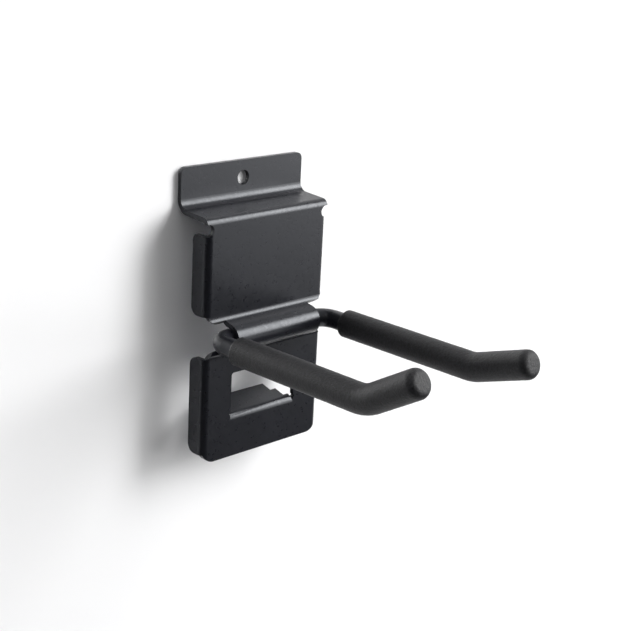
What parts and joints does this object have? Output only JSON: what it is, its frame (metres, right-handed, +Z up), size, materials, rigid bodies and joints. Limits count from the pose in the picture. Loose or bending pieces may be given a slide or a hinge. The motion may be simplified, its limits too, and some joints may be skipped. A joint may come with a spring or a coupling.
{
  "type": "garage utility hook",
  "caption": "Wall hook of bent sheet steel for slotted wall panels, with a bent steel rod that forms sleeved prongs with upturned tips.",
  "frame": {"origin": "centre of the screw hole, on the back face of the top flange", "axes": "+Z up along the plate, +Y into the wall, the prongs reach out along -Y, +X to the right seen from the front"},
  "size_m": [0.0586, 0.1077, 0.0971],
  "materials": {
    "powder_coat": "semi-gloss black powder coat with a fine orange peel",
    "soft_sleeve": "matt black and finely grained, read as foam or soft rubber from its look alone"
  },
  "bodies": {
    "root": {"bracket": "powder_coat", "hook_rod": "powder_coat", "weld_upper": "powder_coat", "weld_lower": "powder_coat", "sleeve_left": "soft_sleeve", "sleeve_right": "soft_sleeve"}
  },
  "joints": []
}
